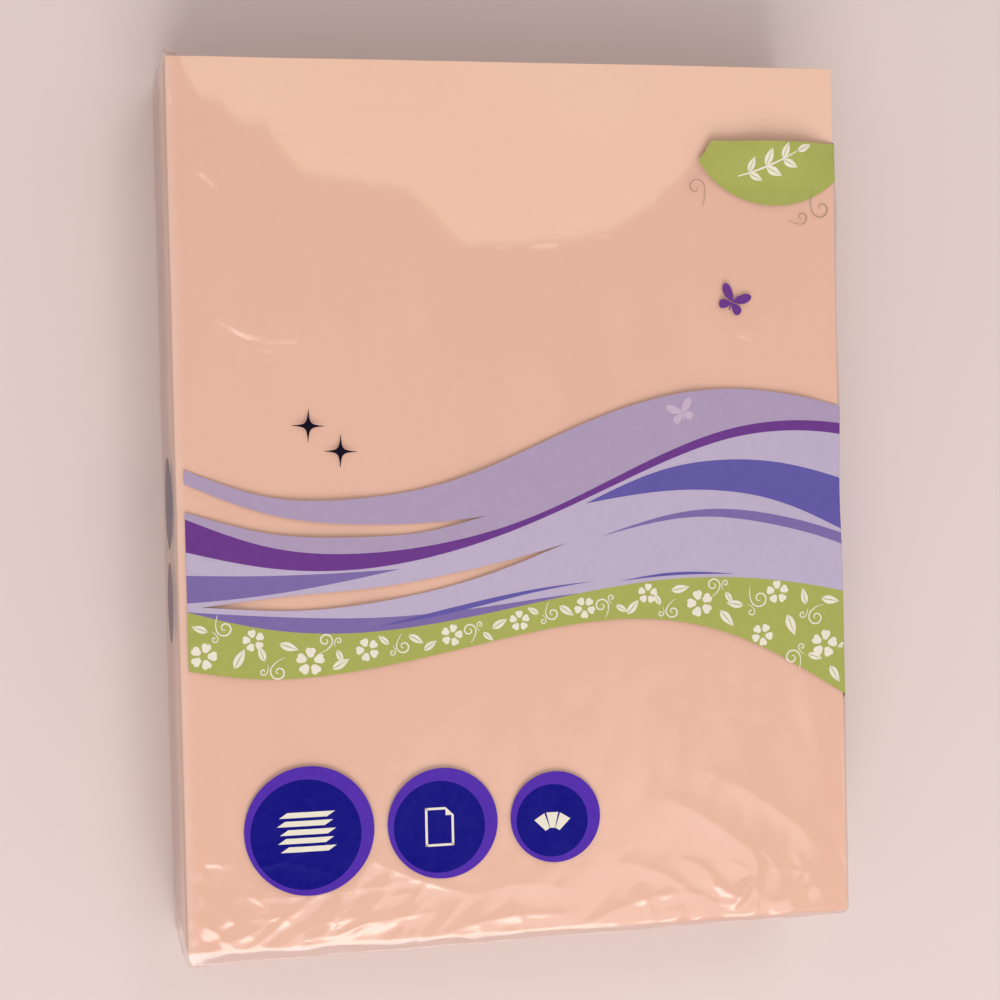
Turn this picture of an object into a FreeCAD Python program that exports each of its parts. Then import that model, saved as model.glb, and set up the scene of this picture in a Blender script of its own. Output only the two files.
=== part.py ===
import FreeCAD, Part
import math
import os

# A ream of letter paper lying on its back, in a clear printed film wrapper whose front and top end
# are torn open. +Z is up and out of the printed front, +Y points to the torn top end, and +X to the
# right of someone who reads the front. The origin is on the surface that the ream lies on, under
# the middle of the top sheet. All sizes are in millimetres.

os.makedirs("parts", exist_ok=True)

# Paper
sheet_width = 215.9
sheet_length = 279.4
sheet_count = 500
sheet_thickness = 0.1
stack_lean = 2.0            # how far the lowest sheet has slid to the left of the top one

# Film wrapper
film_thickness = 0.25
front_slack = 1.0           # how far the front floats over the top sheet
side_play = 0.15            # play between the paper's edge and the start of a fold
fold_radius = 0.35          # inside radius of the folded edges
seam_offset = 18.0          # from the middle of the back to the lap seam's middle
seam_width = 14.0           # between the two heat-seal lines that hold the lap
seal_line_width = 1.2
seal_line_depth = 0.1       # pressed into the outside of the back
seal_end_margin = 3.0       # the lines stop this far short of the end folds

# Lower end of the wrapper, folded like an envelope
end_slack_left = 3.9        # how far the front runs past the paper's lower edge, at the left corner
end_slack_right = 1.0       # and at the right corner
end_wall_draw = 0.6         # how much closer to the paper the end wall lies at the back
flap_overlap = 14.0         # how far the front flap laps over the back flap

# Print on the front
ink_thickness = 0.08
print_margin_left = 2.4     # bare strip between the left fold and the print
badge_radii = (20.4, 17.7, 14.7)
badge_row_height = 37.0     # from the paper's lower edge to the badges' centres
badge_row_inset = 38.3      # from the paper's left edge to the first badge's centre
badge_gap = 4.2
badge_rim = 3.0
badge_disc_shift = 1.1      # the dark disc sits low and to the left in its rim
corner_badge_radius = 31.0
corner_badge_inset = 20.4   # from the paper's right edge to the corner badge's centre
corner_badge_drop = 14.4    # from the paper's top edge to the corner badge's centre
star_reach = 5.0            # from a star's centre to its tips
star_waist = 0.8            # from a star's centre to the corners between its tips
wing_length = 7.5
wing_width = 4.6
blossom_radius = 3.1        # from a blossom's centre to its petals' outer edges
petal_radius = 1.25
petal_count = 5
petal_sides = 8
leaf_length = 8.0
leaf_width = 2.8
leaf_turns = (40.0, -35.0)  # degrees anticlockwise, in turn
motif_pitch = 12.4          # along the green band, from each motif to the next

# Heights above the surface that the ream lies on
stack_height = sheet_count * sheet_thickness
paper_z = film_thickness
top_sheet_z = paper_z + stack_height
front_z = top_sheet_z + front_slack + film_thickness
wrap_gap = side_play + fold_radius
half_width = sheet_width / 2
half_length = sheet_length / 2
print_left = print_margin_left - half_width

# Places on the front are in hundredths of its half width and half length, from its middle.
# The tear runs from the top edge near the left fold to the right wall. Each run is one smooth curve,
# and the runs meet in corners.
tear_runs = [
    [(-96, 106), (-95.5, 99), (-91.5, 91.5), (-85, 89), (-82, 86.5), (-77, 84.8), (-71.8, 85.1)],
    [(-71.8, 85.1), (-70, 81), (-64.4, 76.7), (-62.9, 74.4)],
    [(-62.9, 74.4), (-56.8, 73.2), (-41, 71.1), (-31.8, 70.5)],
    [(-31.8, 70.5), (-15.7, 58)],
    [(-15.7, 58), (2, 57.7), (27.7, 60.5), (42, 67), (54.4, 75.9), (60.8, 82.2)],
    [(60.8, 82.2), (106, 82.1)],
]
# Edge of the film that is left on the top end: share of the half width, share of the height.
end_tear = [(-97, 106), (-95, 80), (-84, 58), (-62, 40), (-30, 29), (8, 34), (46, 22), (80, 27), (106, 25)]
# Edge of the film that is left on the right wall: share of the half length, share of the height.
side_tear = [(82.1, 106), (83, 92), (88, 66), (92, 44), (97, 30), (106, 25)]

# Wave design: edges of the colour fields, from left to right
wave_top = [(-98, 8.4), (-75, 2.0), (-48, 1.0), (-20, 4.6), (16, 15.8), (46, 23.2), (72, 24.4), (100, 20.4)]
ribbon_top = [(-98, -2.6), (-75, -9.2), (-49, -11.4), (-22, -9.4), (4, -4.0), (34, 6.2), (64, 15),
              (100, 16.2)]
ribbon_low = [(-98, -10), (-75, -14), (-49, -15), (-22, -11.8), (4, -5.4), (34, 4.4), (64, 12.8),
              (100, 13.6)]
green_top = [(-98, -23.3), (-75, -27.8), (-49, -29.3), (-22, -27.4), (16, -22.3), (46, -19.5), (77, -20.4),
             (100, -23.6)]
green_low = [(-98, -36.5), (-76, -39), (-50, -38), (-22, -34.4), (16, -29.2), (42, -28.9), (69, -34.4),
             (100, -48)]
bare_slot_high = ([(-98, 5.2), (-75, -1.8), (-48, -4.8), (-26, -4.8), (-10, -3.6)],
                  [(-98, -1.0), (-75, -6.2), (-48, -7.7), (-26, -6.6), (-10, -3.6)])
bare_slot_low = ([(-94, -22.4), (-70, -20.6), (-40, -18.9), (-8, -14.6), (14, -10.4)],
                 [(-94, -22.4), (-70, -23.8), (-40, -22.2), (-8, -16.6), (14, -10.4)])
blue_band = ([(20, -1.4), (44, 6.0), (62, 8.0), (80, 7.2), (100, 3.2)],
             [(20, -1.4), (44, 1.0), (62, 0.8), (80, -2.0), (100, -8.8)])
blue_crescent = ([(24, -9.2), (54, -3.6), (78, -5.0), (100, -9.8)],
                 [(24, -9.2), (54, -5.2), (78, -7.4), (100, -12.4)])
blue_wedge = ([(-98, -16.6), (-76, -17.8), (-52, -17.2)],
              [(-98, -21.4), (-76, -20.6), (-52, -17.2)])
star_places = [(-62.5, 17.4), (-53.3, 11.6)]
butterfly_place = (66.8, 44.6)
butterfly_turn = -28.0      # degrees, anticlockwise
upright = 90.0              # degrees: along the sheet, as the butterfly's body lies before it is turned


def lean_at(z):
    # The lower a sheet lies, the further it has slid to the left.
    return -stack_lean * (top_sheet_z - z) / stack_height


def on_front(place, z):
    across, along = place
    return FreeCAD.Vector(across / 100 * half_width, along / 100 * half_length, z)


def run_edge(points):
    # One smooth curve through the points, or a straight line between two
    if len(points) == 2:
        return Part.LineSegment(points[0], points[1]).toShape()
    curve = Part.BSplineCurve()
    curve.interpolate(points)
    return curve.toShape()


def region(edges):
    return Part.Face(Part.Wire(edges))


def planked_solid(corners):
    # A solid with six flat faces, from its four lower and four upper corners
    quads = [(0, 3, 2, 1), (4, 5, 6, 7), (0, 1, 5, 4), (1, 2, 6, 5), (2, 3, 7, 6), (3, 0, 4, 7)]
    faces = [Part.Face(Part.makePolygon([corners[i] for i in quad + quad[:1]])) for quad in quads]
    return Part.Solid(Part.Shell(faces))


def leaning_corners(z, reach_x, far_y, near_left_y, near_right_y):
    shift = lean_at(z)
    return [
        FreeCAD.Vector(shift - reach_x, near_left_y, z),
        FreeCAD.Vector(shift + reach_x, near_right_y, z),
        FreeCAD.Vector(shift + reach_x, far_y, z),
        FreeCAD.Vector(shift - reach_x, far_y, z),
    ]


def paper_stack():
    low = leaning_corners(paper_z, half_width, half_length, -half_length, -half_length)
    high = leaning_corners(top_sheet_z, half_width, half_length, -half_length, -half_length)
    return planked_solid(low + high)


def wrap_corners(inset):
    # Corners of the closed wrapper, inset from its outside. The lower end has slack at the front.
    reach_x = half_width + wrap_gap + film_thickness - inset
    far_y = half_length + wrap_gap + film_thickness - inset
    left_y = -(half_length + end_slack_left + film_thickness - inset)
    right_y = -(half_length + end_slack_right + film_thickness - inset)
    low_z = inset
    high_z = front_z - inset
    drawn = end_wall_draw * (high_z - low_z) / front_z
    low = leaning_corners(low_z, reach_x, far_y, left_y + drawn, right_y + drawn)
    high = leaning_corners(high_z, reach_x, far_y, left_y, right_y)
    return low + high


def fold_edges(solid, radius):
    # The folds round the front and the back are rounded, and the four upright corners are creased.
    folds = [edge for edge in solid.Edges if edge.BoundBox.ZLength < film_thickness]
    return solid.makeFillet(radius, folds)


def closed_wrap():
    outer = fold_edges(planked_solid(wrap_corners(0)), fold_radius + film_thickness)
    inner = fold_edges(planked_solid(wrap_corners(film_thickness)), fold_radius)
    return outer.cut(inner)


def seal_lines():
    low_y = -half_length + seal_end_margin
    length = sheet_length - 2 * seal_end_margin
    lines = []
    for side in (-1, 1):
        left_x = seam_offset + side * seam_width / 2 - seal_line_width / 2
        corner = FreeCAD.Vector(left_x, low_y, 0)
        lines.append(Part.makeBox(seal_line_width, length, seal_line_depth, corner))
    return lines


def end_flaps():
    # Side tucks first, then the back flap, then the front flap over it, all folded at 45 degrees
    low_left, low_right, _, _, high_left, _, _, _ = wrap_corners(0)
    along = (low_right - low_left).normalize()
    normal = along.cross(high_left - low_left).normalize()
    up = normal.cross(along).normalize()
    edge = fold_radius + film_thickness
    width = (low_right - low_left).Length - 2 * edge
    height = (high_left - low_left).dot(up) - 2 * edge
    start = low_left + along * edge + up * edge - normal * (film_thickness / 2)
    lap = (height + flap_overlap) / 2
    half = height / 2
    layers = [
        (1, [(0, 0), (half, half), (0, height)]),
        (1, [(width, 0), (width - half, half), (width, height)]),
        (2, [(0, 0), (width, 0), (width - lap, lap), (lap, lap)]),
        (3, [(0, height), (width, height), (width - lap, height - lap), (lap, height - lap)]),
    ]
    flaps = []
    for layer, outline in layers:
        points = [start + along * a + up * b for a, b in outline]
        face = Part.Face(Part.makePolygon(points + points[:1]))
        flaps.append(face.extrude(normal * (film_thickness * (layer + 0.5))))
    return flaps


def tear_area(z):
    # The part of the front that is torn away: above the tear, and out past the walls
    edges = [run_edge([on_front(place, z) for place in run]) for run in tear_runs]
    start = on_front(tear_runs[0][0], z)
    end = on_front(tear_runs[-1][-1], z)
    corner = FreeCAD.Vector(end.x, start.y, z)
    edges.append(Part.LineSegment(end, corner).toShape())
    edges.append(Part.LineSegment(corner, start).toShape())
    return region(edges)


def torn_away():
    # Three cutters, through the front, the top end and the right wall, that meet past its corner
    reach = film_thickness + wrap_gap
    front_cut = tear_area(top_sheet_z + front_slack / 2).extrude(FreeCAD.Vector(0, 0, reach + front_slack))

    past_end = half_length + side_play / 2
    end_points = [FreeCAD.Vector(across / 100 * half_width, past_end, share / 100 * front_z)
                  for across, share in end_tear]
    end_corner = FreeCAD.Vector(end_points[-1].x, end_points[-1].y, end_points[0].z)
    end_face = region([
        run_edge(end_points),
        Part.LineSegment(end_points[-1], end_corner).toShape(),
        Part.LineSegment(end_corner, end_points[0]).toShape(),
    ])
    end_cut = end_face.extrude(FreeCAD.Vector(0, 2 * reach, 0))

    past_side = half_width + side_play / 2
    side_points = [FreeCAD.Vector(past_side, along / 100 * half_length, share / 100 * front_z)
                   for along, share in side_tear]
    side_corner = FreeCAD.Vector(side_points[0].x, side_points[-1].y, side_points[0].z)
    side_face = region([
        run_edge(side_points),
        Part.LineSegment(side_points[-1], side_corner).toShape(),
        Part.LineSegment(side_corner, side_points[0]).toShape(),
    ])
    side_cut = side_face.extrude(FreeCAD.Vector(2 * reach, 0, 0))
    return [front_cut, end_cut, side_cut]


def film_wrapper():
    film = closed_wrap()
    for flap in end_flaps():
        film = film.fuse(flap)
    for cutter in seal_lines() + torn_away():
        film = film.cut(cutter)
    return film.removeSplitter()


def ink(face):
    return face.extrude(FreeCAD.Vector(0, 0, ink_thickness))


def band(upper, lower):
    # A colour field between two edges that run from left to right
    top = [on_front(place, front_z) for place in upper]
    low = [on_front(place, front_z) for place in lower]
    edges = [run_edge(top)]
    if top[-1].distanceToPoint(low[-1]) > ink_thickness:
        edges.append(Part.LineSegment(top[-1], low[-1]).toShape())
    edges.append(run_edge(low[::-1]))
    if top[0].distanceToPoint(low[0]) > ink_thickness:
        edges.append(Part.LineSegment(low[0], top[0]).toShape())
    field = ink(region(edges))
    # Every field starts at the same straight left edge.
    strip = Part.makeBox(half_width, sheet_length, 2 * ink_thickness,
                         FreeCAD.Vector(print_left - half_width, -half_length, front_z - ink_thickness / 2))
    return field.cut(strip)


def disc(x, y, radius):
    circle = Part.Circle(FreeCAD.Vector(x, y, front_z), FreeCAD.Vector(0, 0, 1), radius)
    return ink(region([circle.toShape()]))


def leaf(centre, length, width, turn):
    # Two arcs that meet at the leaf's tips
    tip = FreeCAD.Vector(length / 2, 0, 0)
    side = FreeCAD.Vector(0, width / 2, 0)
    arcs = [Part.Arc(-tip, side, tip).toShape(), Part.Arc(tip, -side, -tip).toShape()]
    shape = ink(region(arcs))
    shape.rotate(FreeCAD.Vector(0, 0, 0), FreeCAD.Vector(0, 0, 1), turn)
    shape.translate(centre)
    return shape


def star(place):
    # Four long tips, with a narrow waist between them
    centre = on_front(place, front_z)
    points = []
    for step in range(8):
        reach = star_waist if step % 2 else star_reach
        angle = math.radians(45 * step)
        points.append(centre + FreeCAD.Vector(reach * math.cos(angle), reach * math.sin(angle), 0))
    return ink(Part.Face(Part.makePolygon(points + points[:1])))


def butterfly():
    # Two upper wings, two lower wings and a thin body
    centre = on_front(butterfly_place, front_z)
    wings = []
    for spread, share in ((38, 1.0), (142, 1.0), (-50, 0.7), (-130, 0.7)):
        angle = math.radians(spread + butterfly_turn)
        length = wing_length * share
        middle = centre + FreeCAD.Vector(math.cos(angle), math.sin(angle), 0) * (length / 2)
        wings.append(leaf(middle, length, wing_width * share, spread + butterfly_turn))
    body = leaf(centre, wing_length, wing_width / 5, upright + butterfly_turn)
    return body.multiFuse(wings).removeSplitter()


def height_between(places, across):
    # Height of an edge at a place across the front, between its two nearest points
    for (x0, y0), (x1, y1) in zip(places, places[1:]):
        if x0 <= across <= x1:
            return y0 + (y1 - y0) * (across - x0) / (x1 - x0)
    return places[-1][1]


def blossom(centre, turn):
    # Round petals with many sides, in a ring with an open middle
    petals = []
    for petal in range(petal_count):
        angle = 2 * math.pi * petal / petal_count + turn
        reach = blossom_radius - petal_radius
        middle = centre + FreeCAD.Vector(math.cos(angle), math.sin(angle), 0) * reach
        points = []
        for side in range(petal_sides):
            corner = 2 * math.pi * side / petal_sides
            points.append(middle + FreeCAD.Vector(math.cos(corner), math.sin(corner), 0) * petal_radius)
        petals.append(ink(Part.Face(Part.makePolygon(points + points[:1]))))
    return petals


def band_motifs():
    # Blossoms and leaves in turn along the middle of the green band
    motifs = []
    count = int((half_width - print_left - motif_pitch) // motif_pitch)
    for index in range(count):
        x = print_left + motif_pitch * (index + 1)
        across = x / half_width * 100
        middle = (height_between(green_top, across) + height_between(green_low, across)) / 2
        centre = FreeCAD.Vector(x, middle / 100 * half_length, front_z)
        if index % 2:
            motifs.append(leaf(centre, leaf_length, leaf_width, leaf_turns[index // 2 % 2]))
        else:
            motifs += blossom(centre, index)
    return motifs


def badge_places():
    places = []
    x = badge_row_inset - half_width
    y = badge_row_height - half_length
    for index, radius in enumerate(badge_radii):
        if index:
            x += badge_radii[index - 1] + badge_gap + radius
        places.append((x, y, radius))
    return places


def print_fields():
    ribbon = band(ribbon_top, ribbon_low)
    blues = [band(*edges) for edges in (blue_band, blue_crescent, blue_wedge)]
    slots = [band(*edges) for edges in (bare_slot_high, bare_slot_low)]
    blue = Part.Compound([shape.cut(ribbon) for shape in blues])
    lavender = band(wave_top, ribbon_top).cut(Part.Compound(slots + [ribbon]))
    pale = band(ribbon_low, green_top).cut(Part.Compound(slots + blues + [ribbon]))
    green = band(green_top, green_low).cut(Part.Compound(band_motifs()))

    discs = []
    rims = []
    for x, y, radius in badge_places():
        inner = disc(x - badge_disc_shift, y - badge_disc_shift, radius - badge_rim)
        discs.append(inner)
        rims.append(disc(x, y, radius).cut(inner))

    corner = disc(half_width - corner_badge_inset, half_length - corner_badge_drop, corner_badge_radius)
    torn = tear_area(front_z - ink_thickness / 2).extrude(FreeCAD.Vector(0, 0, 2 * ink_thickness))
    face = Part.makeBox(sheet_width, sheet_length, ink_thickness,
                        FreeCAD.Vector(-half_width, -half_length, front_z))
    corner = corner.common(face).cut(torn)
    return {
        "print_lavender_wave": lavender,
        "print_pale_wave": pale,
        "print_violet_ribbon": ribbon,
        "print_blue_bands": blue,
        "print_green_band": green,
        "print_corner_badge": corner,
        "print_badge_rims": Part.Compound(rims),
        "print_badge_discs": Part.Compound(discs),
        "print_stars": Part.Compound([star(place) for place in star_places]),
        "print_butterfly": butterfly(),
    }


def main():
    nodes = {"paper_stack": paper_stack(), "film_wrapper": film_wrapper()}
    nodes.update(print_fields())
    for name, shape in nodes.items():
        shape.exportStep("parts/" + name + ".step")
        box = shape.BoundBox
        print(name, len(shape.Solids), "solids", shape.isValid(), round(shape.Volume, 2),
              [round(value, 2) for value in (box.XMin, box.XMax, box.YMin, box.YMax, box.ZMin, box.ZMax)])


main()
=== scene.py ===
import math
import bpy
import numpy as np
from mathutils import Matrix, Vector


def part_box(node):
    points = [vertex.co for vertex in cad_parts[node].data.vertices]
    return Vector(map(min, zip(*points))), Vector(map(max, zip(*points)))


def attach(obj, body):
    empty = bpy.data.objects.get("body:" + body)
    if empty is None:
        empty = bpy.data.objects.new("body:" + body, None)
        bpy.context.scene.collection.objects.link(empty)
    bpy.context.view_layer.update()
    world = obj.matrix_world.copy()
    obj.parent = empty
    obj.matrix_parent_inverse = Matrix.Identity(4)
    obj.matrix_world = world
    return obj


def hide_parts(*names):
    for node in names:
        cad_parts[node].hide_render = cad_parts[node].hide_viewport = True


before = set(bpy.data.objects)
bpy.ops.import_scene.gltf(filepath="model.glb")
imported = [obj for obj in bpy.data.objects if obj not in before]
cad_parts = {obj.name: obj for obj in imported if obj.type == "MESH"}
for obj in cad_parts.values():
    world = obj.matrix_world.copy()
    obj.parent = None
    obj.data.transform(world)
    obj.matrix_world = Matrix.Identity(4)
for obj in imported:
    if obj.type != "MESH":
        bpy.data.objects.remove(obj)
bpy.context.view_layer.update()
mm = 0.001

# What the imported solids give: the paper's edges and the film's outside
paperLow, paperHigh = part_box("paper_stack")
filmLow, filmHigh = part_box("film_wrapper")
halfWidth = paperHigh[0]
halfLength = paperHigh[1]
sheetTop = paperHigh[2]
sheetLow = paperLow[2]
stackHeight = sheetTop - sheetLow
stackLean = -paperLow[0] - halfWidth  # how far the lowest sheet has slid to the left
endSlackLeft = -filmLow[1] - halfLength - 0.9 * mm  # the folded flaps take the rest
print("frame loaded, paper", round(halfWidth * 2, 4), round(halfLength * 2, 4), round(stackHeight, 4))


def leanAt(z):
    return -stackLean * (sheetTop - z) / stackHeight


def smooth(value, low, high):
    t = np.clip((value - low) / (high - low), 0, 1)
    return t * t * (3 - 2 * t)


def ripples(a, b, wave, seed, count=9, stretch=1.0):
    # Soft bumps about one wave apart, between about -1 and 1, longer along b by stretch
    draw = np.random.default_rng(seed)
    total = np.zeros(np.broadcast(a, b).shape)
    turns, lengths = draw.uniform(0, math.pi, count), draw.uniform(0.7, 1.5, count)
    for turn, length, phase in zip(turns, lengths, draw.uniform(0, 6.28, count)):
        rate = 2 * math.pi / (wave * length)
        total += np.sin(rate * (a * math.cos(turn) + b * math.sin(turn) / stretch) + phase)
    return total / math.sqrt(count * 1.2)


def meshObject(name, points, faces, smoothFaces=True):
    mesh = bpy.data.meshes.new(name)
    mesh.from_pydata([tuple(p) for p in points], [], faces)
    mesh.polygons.foreach_set("use_smooth", [smoothFaces] * len(mesh.polygons))
    mesh.update()
    thing = bpy.data.objects.new(name, mesh)
    bpy.context.scene.collection.objects.link(thing)
    return thing


# Shader graphs: an expression on values adds Math nodes, and every other node comes from add()
class Value:
    def __init__(self, graph, socket):
        self.graph = graph
        self.socket = socket

    def __add__(self, other):
        return self.graph.math("ADD", self, other)

    def __radd__(self, other):
        return self.graph.math("ADD", other, self)

    def __sub__(self, other):
        return self.graph.math("SUBTRACT", self, other)

    def __rsub__(self, other):
        return self.graph.math("SUBTRACT", other, self)

    def __mul__(self, other):
        return self.graph.math("MULTIPLY", self, other)

    def __rmul__(self, other):
        return self.graph.math("MULTIPLY", other, self)

    def __pow__(self, other):
        return self.graph.math("POWER", self, other)

    def __abs__(self):
        return self.graph.math("ABSOLUTE", self)


class Graph:
    def __init__(self, owner):
        self.owner = owner
        owner.use_nodes = True
        self.tree = owner.node_tree
        self.tree.nodes.clear()

    def add(self, kind, settings=None, sockets=None, output=0):
        node = self.tree.nodes.new(kind)
        for key, value in (settings or {}).items():
            setattr(node, key, value)
        for key, value in (sockets or {}).items():
            if isinstance(value, Value):
                self.tree.links.new(value.socket, node.inputs[key])
            else:
                node.inputs[key].default_value = value
        return Value(self, node.outputs[output]) if len(node.outputs) else None

    def math(self, operation, a, b=0.0):
        return self.add("ShaderNodeMath", {"operation": operation}, {0: a, 1: b})

    def colorMix(self, share, a, b):
        return self.add("ShaderNodeMix", {"data_type": "RGBA"}, {0: share, 6: a, 7: b}, output=2)

    def noise(self, coords, scale, detail=2.0, rough=0.5):
        return self.add("ShaderNodeTexNoise", {},
                        {"Vector": coords, "Scale": scale, "Detail": detail, "Roughness": rough})

    def axis(self, vector, index):
        return self.add("ShaderNodeSeparateXYZ", {}, {0: vector}, output=index)

    def clamp(self, value):
        return self.add("ShaderNodeClamp", {}, {0: value})

    def bump(self, height, finish):
        return self.add("ShaderNodeBump", {}, {
            "Strength": finish["bump"], "Distance": finish["bumpHeight"], "Height": height})

    def seenDirectly(self):
        # 1 for the rays by which the camera, gloss and glass see a backdrop, 0 for those that give light
        camera, glossy, through = [self.add("ShaderNodeLightPath", output=name)
                                   for name in ("Is Camera Ray", "Is Glossy Ray", "Is Transmission Ray")]
        return self.math("MAXIMUM", self.math("MAXIMUM", camera, glossy), through)

    def finish(self, shader, kind="ShaderNodeOutputMaterial"):
        self.add(kind, {}, {"Surface": shader})
        return self.owner


def srgb(red, green, blue):
    shares = [c / 255 for c in (red, green, blue)]
    return tuple(c / 12.92 if c <= 0.04 else ((c + 0.055) / 1.055) ** 2.4 for c in shares) + (1.0,)


# Paper: 500 cut sheets, jogged a little against each other
paper = {
    "count": 500,
    "sheetShare": 0.9,          # of the pitch, so that the edges read as single sheets
    "jog": 0.04 * mm,           # from one sheet to the next
    "groupJog": 0.05 * mm,      # between the groups in which the stack was filled
    "groups": 14,
    "turn": 0.01,               # degrees that a group lies askew
    "looseSheets": 4,           # on top, not quite flat where the film is torn away
    "looseWave": 0.3 * mm,      # height and length of their waves
    "looseLength": 90 * mm,
    "looseInset": 0.15 * mm,    # how far their ends lie behind the stack's
    "insetLength": 120 * mm,
    "wavesFrom": 84 * mm,
    "mostJog": 0.2 * mm,
    "seed": 41,
    "color": srgb(242, 201, 177),
    "shade": srgb(232, 184, 160),
    # the stack's edges: partly their own darker tone, partly painted shade on the upright sides
    "edge": srgb(190, 158, 141),
    "edgeShadeShare": 0.8,
    "rough": 0.8,
    "shine": 0.25,
    "edgeLines": (1.5, 1.5, 4000.0),            # scale of the streaks in the stack's edges
    "fibres": 1400.0,           # scales of the fibres and of the clouds in the paper
    "clouds": 14.0,
    "bump": 0.12,
    "bumpHeight": 0.05 * mm,
}


def buildPaper():
    draw = np.random.default_rng(paper["seed"])
    pitch = stackHeight / paper["count"]
    cuts = np.sort(draw.integers(0, paper["count"] - paper["looseSheets"], paper["groups"]))
    groupShift = draw.uniform(-1, 1, (paper["groups"] + 1, 2)) * paper["groupJog"]
    groupTurn = draw.normal(0, 1, paper["groups"] + 1) * math.radians(paper["turn"])
    points, faces = [], []
    for index in range(paper["count"] - paper["looseSheets"]):
        low = sheetLow + index * pitch
        group = np.searchsorted(cuts, index)
        shift = groupShift[group] + draw.normal(0, 1, 2) * paper["jog"]
        shift = np.clip(shift, -paper["mostJog"], paper["mostJog"])
        start = len(points)
        for z in (low, low + pitch * paper["sheetShare"]):
            for sideX, sideY in ((-1, -1), (1, -1), (1, 1), (-1, 1)):
                x, y = sideX * halfWidth, sideY * halfLength
                points.append((x - y * groupTurn[group] + leanAt(z) + shift[0],
                               y + x * groupTurn[group] + shift[1], z))
        for quad in ((0, 3, 2, 1), (4, 5, 6, 7), (0, 1, 5, 4), (1, 2, 6, 5), (2, 3, 7, 6), (3, 0, 4, 7)):
            faces.append([start + corner for corner in quad])
    return meshObject("paper_sheets", points, faces, smoothFaces=False)


def buildLooseSheets():
    # Closed sheets on a grid, so that they can wave
    points, faces = [], []
    pitch = stackHeight / paper["count"]
    across, along = np.linspace(-1, 1, 61), 1 - 2 * np.linspace(0, 1, 49) ** 1.6
    for index in range(paper["looseSheets"]):
        low = sheetTop - (paper["looseSheets"] - index) * pitch
        share = (index + 1) / paper["looseSheets"]
        place = across * halfWidth
        swing = 1 + ripples(place, place * 0, paper["looseLength"], 70 + index)
        wave = paper["looseWave"] * share * swing / 2
        rise = wave[:, None] * smooth(along * halfLength, paper["wavesFrom"], halfLength)[None, :]
        inset = paper["looseInset"] * np.abs(ripples(place, place * 0, paper["insetLength"], 80 + index))
        start, size = len(points), len(across) * len(along)
        for z in (low, low + pitch * paper["sheetShare"]):
            for i, x in enumerate(across):
                points += [(x * halfWidth, y * halfLength - inset[i] * (y > 0.99), z + rise[i, j])
                           for j, y in enumerate(along)]
        rows, last = len(along), len(across) - 1
        for i in range(last):
            for j in range(rows - 1):
                a = start + i * rows + j
                faces.append((a, a + rows, a + rows + 1, a + 1))
                faces.append((a + size, a + size + 1, a + size + rows + 1, a + size + rows))
        rim = [i * rows for i in range(last + 1)] + [last * rows + j for j in range(1, rows)]
        rim += [i * rows + rows - 1 for i in range(last - 1, -1, -1)] + list(range(rows - 2, 0, -1))
        for a, b in zip(rim, rim[1:] + rim[:1]):
            faces.append((start + size + a, start + size + b, start + b, start + a))
    return meshObject("top_sheets", points, faces, smoothFaces=False)


def paperMaterial():
    g = Graph(bpy.data.materials.new("pastelPaper"))
    place = g.add("ShaderNodeTexCoord", output=3)
    stretched = g.add("ShaderNodeMapping", {}, {"Vector": place, "Scale": paper["edgeLines"]})
    sheets = g.noise(stretched, 1.0, 1.0)
    fibres = g.noise(place, paper["fibres"], 3.0, 0.6)
    clouds = g.noise(place, paper["clouds"], 2.0)
    tone = 0.5 * clouds + 0.3 * sheets + 0.3 * fibres - 0.2
    face = g.colorMix(tone, paper["color"], paper["shade"])
    # Upright faces get the edge colour: painted shade on the stack's sides, besides the edges' own
    # darker tone
    upright = abs(g.axis(g.add("ShaderNodeNewGeometry", output=1), 2))
    color = g.colorMix((1 - upright) * paper["edgeShadeShare"], face, paper["edge"])
    bump = g.bump(fibres, paper)
    return g.finish(g.add("ShaderNodeBsdfPrincipled", {}, {
        "Base Color": color, "Roughness": paper["rough"], "Specular IOR Level": paper["shine"],
        "Normal": bump,
    }))


sheets, looseSheets = buildPaper(), buildLooseSheets()
paperFinish = paperMaterial()
for thing in (sheets, looseSheets):
    thing.data.materials.append(paperFinish)
    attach(thing, "root")
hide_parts("paper_stack")
print("paper sheets built", len(sheets.data.polygons))

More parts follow.
